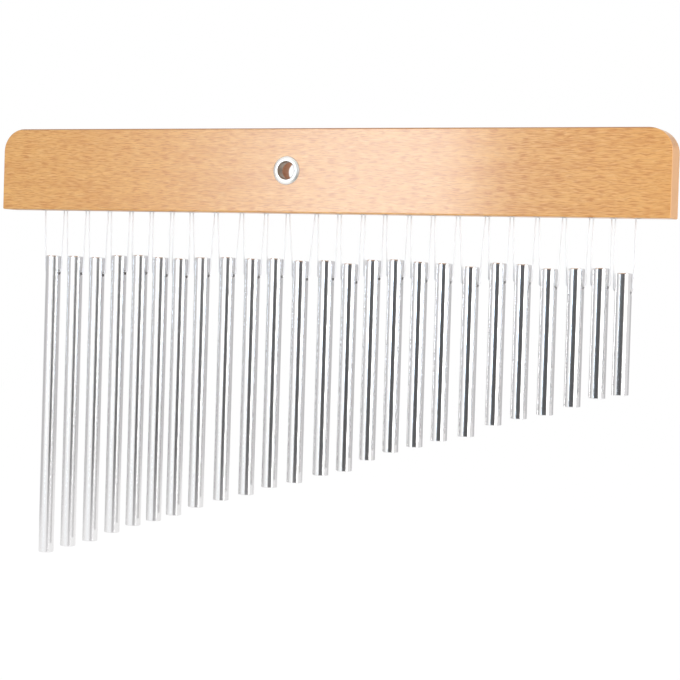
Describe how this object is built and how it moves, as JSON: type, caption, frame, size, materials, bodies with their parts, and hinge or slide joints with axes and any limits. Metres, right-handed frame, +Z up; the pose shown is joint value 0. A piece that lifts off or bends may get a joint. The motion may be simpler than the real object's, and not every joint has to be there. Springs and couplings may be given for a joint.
{
  "type": "bar chimes",
  "caption": "Graduated solid aluminium bars hang on a laced cord under a lacquered wooden beam with a metal eyelet for a stand; swept by hand, they swing and strike each other.",
  "frame": {"origin": "centre of the eyelet's bore, in the plane of the beam's front face", "axes": "+X along the beam towards the shortest bar, +Y from the front face to the back, +Z up"},
  "size_m": [0.427, 0.017, 0.2645],
  "materials": {
    "beech": "clear gloss lacquer on beech",
    "aluminium": "drawn and polished",
    "nickel": "bright nickel plate",
    "cord": "twisted white nylon",
    "peg": "plain"
  },
  "bodies": {
    "beam": {"wooden_beam": "beech", "stand_eyelet": "nickel", "cord_bights": "cord", "cord_pegs": "peg"},
    "cord_01": {"cord_loop_01": "cord"},
    "bar_01": {"chime_bar_01": "aluminium"},
    "cord_02": {"cord_loop_02": "cord"},
    "bar_02": {"chime_bar_02": "aluminium"},
    "cord_03": {"cord_loop_03": "cord"},
    "bar_03": {"chime_bar_03": "aluminium"},
    "cord_04": {"cord_loop_04": "cord"},
    "bar_04": {"chime_bar_04": "aluminium"},
    "cord_05": {"cord_loop_05": "cord"},
    "bar_05": {"chime_bar_05": "aluminium"},
    "cord_06": {"cord_loop_06": "cord"},
    "bar_06": {"chime_bar_06": "aluminium"},
    "cord_07": {"cord_loop_07": "cord"},
    "bar_07": {"chime_bar_07": "aluminium"},
    "cord_08": {"cord_loop_08": "cord"},
    "bar_08": {"chime_bar_08": "aluminium"},
    "cord_09": {"cord_loop_09": "cord"},
    "bar_09": {"chime_bar_09": "aluminium"},
    "cord_10": {"cord_loop_10": "cord"},
    "bar_10": {"chime_bar_10": "aluminium"},
    "cord_11": {"cord_loop_11": "cord"},
    "bar_11": {"chime_bar_11": "aluminium"},
    "cord_12": {"cord_loop_12": "cord"},
    "bar_12": {"chime_bar_12": "aluminium"},
    "cord_13": {"cord_loop_13": "cord"},
    "bar_13": {"chime_bar_13": "aluminium"},
    "cord_14": {"cord_loop_14": "cord"},
    "bar_14": {"chime_bar_14": "aluminium"},
    "cord_15": {"cord_loop_15": "cord"},
    "bar_15": {"chime_bar_15": "aluminium"},
    "cord_16": {"cord_loop_16": "cord"},
    "bar_16": {"chime_bar_16": "aluminium"},
    "cord_17": {"cord_loop_17": "cord"},
    "bar_17": {"chime_bar_17": "aluminium"},
    "cord_18": {"cord_loop_18": "cord"},
    "bar_18": {"chime_bar_18": "aluminium"},
    "cord_19": {"cord_loop_19": "cord"},
    "bar_19": {"chime_bar_19": "aluminium"},
    "cord_20": {"cord_loop_20": "cord"},
    "bar_20": {"chime_bar_20": "aluminium"},
    "cord_21": {"cord_loop_21": "cord"},
    "bar_21": {"chime_bar_21": "aluminium"},
    "cord_22": {"cord_loop_22": "cord"},
    "bar_22": {"chime_bar_22": "aluminium"},
    "cord_23": {"cord_loop_23": "cord"},
    "bar_23": {"chime_bar_23": "aluminium"},
    "cord_24": {"cord_loop_24": "cord"},
    "bar_24": {"chime_bar_24": "aluminium"},
    "cord_25": {"cord_loop_25": "cord"},
    "bar_25": {"chime_bar_25": "aluminium"}
  },
  "joints": [
    {"name": "cord_01_swing", "type": "hinge", "parent": "beam", "child": "cord_01", "pos_m": [-0.16215, 0.008, -0.0256], "axis": [1, 0, 0], "range_deg": [-80, 80]},
    {"name": "bar_01_rock", "type": "hinge", "parent": "cord_01", "child": "bar_01", "pos_m": [-0.16215, 0.008, -0.06325], "axis": [0, -1, 0], "range_deg": [-2.99, 1.97]},
    {"name": "cord_02_swing", "type": "hinge", "parent": "beam", "child": "cord_02", "pos_m": [-0.14645, 0.008, -0.0256], "axis": [1, 0, 0], "range_deg": [-80, 80]},
    {"name": "bar_02_rock", "type": "hinge", "parent": "cord_02", "child": "bar_02", "pos_m": [-0.14645, 0.008, -0.06325], "axis": [0, -1, 0], "range_deg": [-1.97, 2.02]},
    {"name": "cord_03_swing", "type": "hinge", "parent": "beam", "child": "cord_03", "pos_m": [-0.13075, 0.008, -0.0256], "axis": [1, 0, 0], "range_deg": [-80, 80]},
    {"name": "bar_03_rock", "type": "hinge", "parent": "cord_03", "child": "bar_03", "pos_m": [-0.13075, 0.008, -0.06375], "axis": [0, -1, 0], "range_deg": [-2.03, 2.02]},
    {"name": "cord_04_swing", "type": "hinge", "parent": "beam", "child": "cord_04", "pos_m": [-0.1153, 0.008, -0.0256], "axis": [1, 0, 0], "range_deg": [-80, 80]},
    {"name": "bar_04_rock", "type": "hinge", "parent": "cord_04", "child": "bar_04", "pos_m": [-0.1153, 0.008, -0.06225], "axis": [0, -1, 0], "range_deg": [-2, 1.79]},
    {"name": "cord_05_swing", "type": "hinge", "parent": "beam", "child": "cord_05", "pos_m": [-0.1006, 0.008, -0.0256], "axis": [1, 0, 0], "range_deg": [-80, 80]},
    {"name": "bar_05_rock", "type": "hinge", "parent": "cord_05", "child": "bar_05", "pos_m": [-0.1006, 0.008, -0.06175], "axis": [0, -1, 0], "range_deg": [-1.79, 1.65]},
    {"name": "cord_06_swing", "type": "hinge", "parent": "beam", "child": "cord_06", "pos_m": [-0.0864, 0.008, -0.0256], "axis": [1, 0, 0], "range_deg": [-80, 80]},
    {"name": "bar_06_rock", "type": "hinge", "parent": "cord_06", "child": "bar_06", "pos_m": [-0.0864, 0.008, -0.06275], "axis": [0, -1, 0], "range_deg": [-1.66, 1.51]},
    {"name": "cord_07_swing", "type": "hinge", "parent": "beam", "child": "cord_07", "pos_m": [-0.0727, 0.008, -0.0256], "axis": [1, 0, 0], "range_deg": [-80, 80]},
    {"name": "bar_07_rock", "type": "hinge", "parent": "cord_07", "child": "bar_07", "pos_m": [-0.0727, 0.008, -0.06325], "axis": [0, -1, 0], "range_deg": [-1.52, 2.09]},
    {"name": "cord_08_swing", "type": "hinge", "parent": "beam", "child": "cord_08", "pos_m": [-0.05775, 0.008, -0.0256], "axis": [1, 0, 0], "range_deg": [-80, 80]},
    {"name": "bar_08_rock", "type": "hinge", "parent": "cord_08", "child": "bar_08", "pos_m": [-0.05775, 0.008, -0.06225], "axis": [0, -1, 0], "range_deg": [-2.08, 2.99]},
    {"name": "cord_09_swing", "type": "hinge", "parent": "beam", "child": "cord_09", "pos_m": [-0.0408, 0.008, -0.0256], "axis": [1, 0, 0], "range_deg": [-80, 80]},
    {"name": "bar_09_rock", "type": "hinge", "parent": "cord_09", "child": "bar_09", "pos_m": [-0.0408, 0.008, -0.06175], "axis": [0, -1, 0], "range_deg": [-2.99, 2.98]},
    {"name": "cord_10_swing", "type": "hinge", "parent": "beam", "child": "cord_10", "pos_m": [-0.0241, 0.008, -0.0256], "axis": [1, 0, 0], "range_deg": [-80, 80]},
    {"name": "bar_10_rock", "type": "hinge", "parent": "cord_10", "child": "bar_10", "pos_m": [-0.0241, 0.008, -0.06225], "axis": [0, -1, 0], "range_deg": [-2.99, 2.44]},
    {"name": "cord_11_swing", "type": "hinge", "parent": "beam", "child": "cord_11", "pos_m": [-0.0089, 0.008, -0.0256], "axis": [1, 0, 0], "range_deg": [-80, 80]},
    {"name": "bar_11_rock", "type": "hinge", "parent": "cord_11", "child": "bar_11", "pos_m": [-0.0089, 0.008, -0.06175], "axis": [0, -1, 0], "range_deg": [-2.43, 2.99]},
    {"name": "cord_12_swing", "type": "hinge", "parent": "beam", "child": "cord_12", "pos_m": [0.00755, 0.008, -0.0256], "axis": [1, 0, 0], "range_deg": [-80, 80]},
    {"name": "bar_12_rock", "type": "hinge", "parent": "cord_12", "child": "bar_12", "pos_m": [0.00755, 0.008, -0.06275], "axis": [0, -1, 0], "range_deg": [-2.99, 2.99]},
    {"name": "cord_13_swing", "type": "hinge", "parent": "beam", "child": "cord_13", "pos_m": [0.02425, 0.008, -0.0256], "axis": [1, 0, 0], "range_deg": [-80, 80]},
    {"name": "bar_13_rock", "type": "hinge", "parent": "cord_13", "child": "bar_13", "pos_m": [0.02425, 0.008, -0.06225], "axis": [0, -1, 0], "range_deg": [-2.99, 2.59]},
    {"name": "cord_14_swing", "type": "hinge", "parent": "beam", "child": "cord_14", "pos_m": [0.0392, 0.008, -0.0256], "axis": [1, 0, 0], "range_deg": [-80, 80]},
    {"name": "bar_14_rock", "type": "hinge", "parent": "cord_14", "child": "bar_14", "pos_m": [0.0392, 0.008, -0.06375], "axis": [0, -1, 0], "range_deg": [-2.62, 2.54]},
    {"name": "cord_15_swing", "type": "hinge", "parent": "beam", "child": "cord_15", "pos_m": [0.05365, 0.008, -0.0256], "axis": [1, 0, 0], "range_deg": [-80, 80]},
    {"name": "bar_15_rock", "type": "hinge", "parent": "cord_15", "child": "bar_15", "pos_m": [0.05365, 0.008, -0.06125], "axis": [0, -1, 0], "range_deg": [-2.48, 2.61]},
    {"name": "cord_16_swing", "type": "hinge", "parent": "beam", "child": "cord_16", "pos_m": [0.0681, 0.008, -0.0256], "axis": [1, 0, 0], "range_deg": [-80, 80]},
    {"name": "bar_16_rock", "type": "hinge", "parent": "cord_16", "child": "bar_16", "pos_m": [0.0681, 0.008, -0.06075], "axis": [0, -1, 0], "range_deg": [-2.6, 2.99]},
    {"name": "cord_17_swing", "type": "hinge", "parent": "beam", "child": "cord_17", "pos_m": [0.08305, 0.008, -0.0256], "axis": [1, 0, 0], "range_deg": [-80, 80]},
    {"name": "bar_17_rock", "type": "hinge", "parent": "cord_17", "child": "bar_17", "pos_m": [0.08305, 0.008, -0.06175], "axis": [0, -1, 0], "range_deg": [-2.99, 2.99]},
    {"name": "cord_18_swing", "type": "hinge", "parent": "beam", "child": "cord_18", "pos_m": [0.098, 0.008, -0.0256], "axis": [1, 0, 0], "range_deg": [-80, 80]},
    {"name": "bar_18_rock", "type": "hinge", "parent": "cord_18", "child": "bar_18", "pos_m": [0.098, 0.008, -0.06225], "axis": [0, -1, 0], "range_deg": [-2.99, 2.99]},
    {"name": "cord_19_swing", "type": "hinge", "parent": "beam", "child": "cord_19", "pos_m": [0.11445, 0.008, -0.0256], "axis": [1, 0, 0], "range_deg": [-80, 80]},
    {"name": "bar_19_rock", "type": "hinge", "parent": "cord_19", "child": "bar_19", "pos_m": [0.11445, 0.008, -0.06375], "axis": [0, -1, 0], "range_deg": [-2.99, 2.99]},
    {"name": "cord_20_swing", "type": "hinge", "parent": "beam", "child": "cord_20", "pos_m": [0.13065, 0.008, -0.0256], "axis": [1, 0, 0], "range_deg": [-80, 80]},
    {"name": "bar_20_rock", "type": "hinge", "parent": "cord_20", "child": "bar_20", "pos_m": [0.13065, 0.008, -0.06125], "axis": [0, -1, 0], "range_deg": [-2.99, 2.99]},
    {"name": "cord_21_swing", "type": "hinge", "parent": "beam", "child": "cord_21", "pos_m": [0.1456, 0.008, -0.0256], "axis": [1, 0, 0], "range_deg": [-80, 80]},
    {"name": "bar_21_rock", "type": "hinge", "parent": "cord_21", "child": "bar_21", "pos_m": [0.1456, 0.008, -0.06175], "axis": [0, -1, 0], "range_deg": [-2.99, 2.99]},
    {"name": "cord_22_swing", "type": "hinge", "parent": "beam", "child": "cord_22", "pos_m": [0.16105, 0.008, -0.0256], "axis": [1, 0, 0], "range_deg": [-80, 80]},
    {"name": "bar_22_rock", "type": "hinge", "parent": "cord_22", "child": "bar_22", "pos_m": [0.16105, 0.008, -0.06375], "axis": [0, -1, 0], "range_deg": [-2.99, 2.99]},
    {"name": "cord_23_swing", "type": "hinge", "parent": "beam", "child": "cord_23", "pos_m": [0.17675, 0.008, -0.0256], "axis": [1, 0, 0], "range_deg": [-80, 80]},
    {"name": "bar_23_rock", "type": "hinge", "parent": "cord_23", "child": "bar_23", "pos_m": [0.17675, 0.008, -0.06325], "axis": [0, -1, 0], "range_deg": [-2.99, 2.99]},
    {"name": "cord_24_swing", "type": "hinge", "parent": "beam", "child": "cord_24", "pos_m": [0.19095, 0.008, -0.0256], "axis": [1, 0, 0], "range_deg": [-80, 80]},
    {"name": "bar_24_rock", "type": "hinge", "parent": "cord_24", "child": "bar_24", "pos_m": [0.19095, 0.008, -0.06275], "axis": [0, -1, 0], "range_deg": [-2.99, 2.99]},
    {"name": "cord_25_swing", "type": "hinge", "parent": "beam", "child": "cord_25", "pos_m": [0.20415, 0.008, -0.0256], "axis": [1, 0, 0], "range_deg": [-80, 80]},
    {"name": "bar_25_rock", "type": "hinge", "parent": "cord_25", "child": "bar_25", "pos_m": [0.20415, 0.008, -0.06525], "axis": [0, -1, 0], "range_deg": [-2.99, 2.99]}
  ]
}
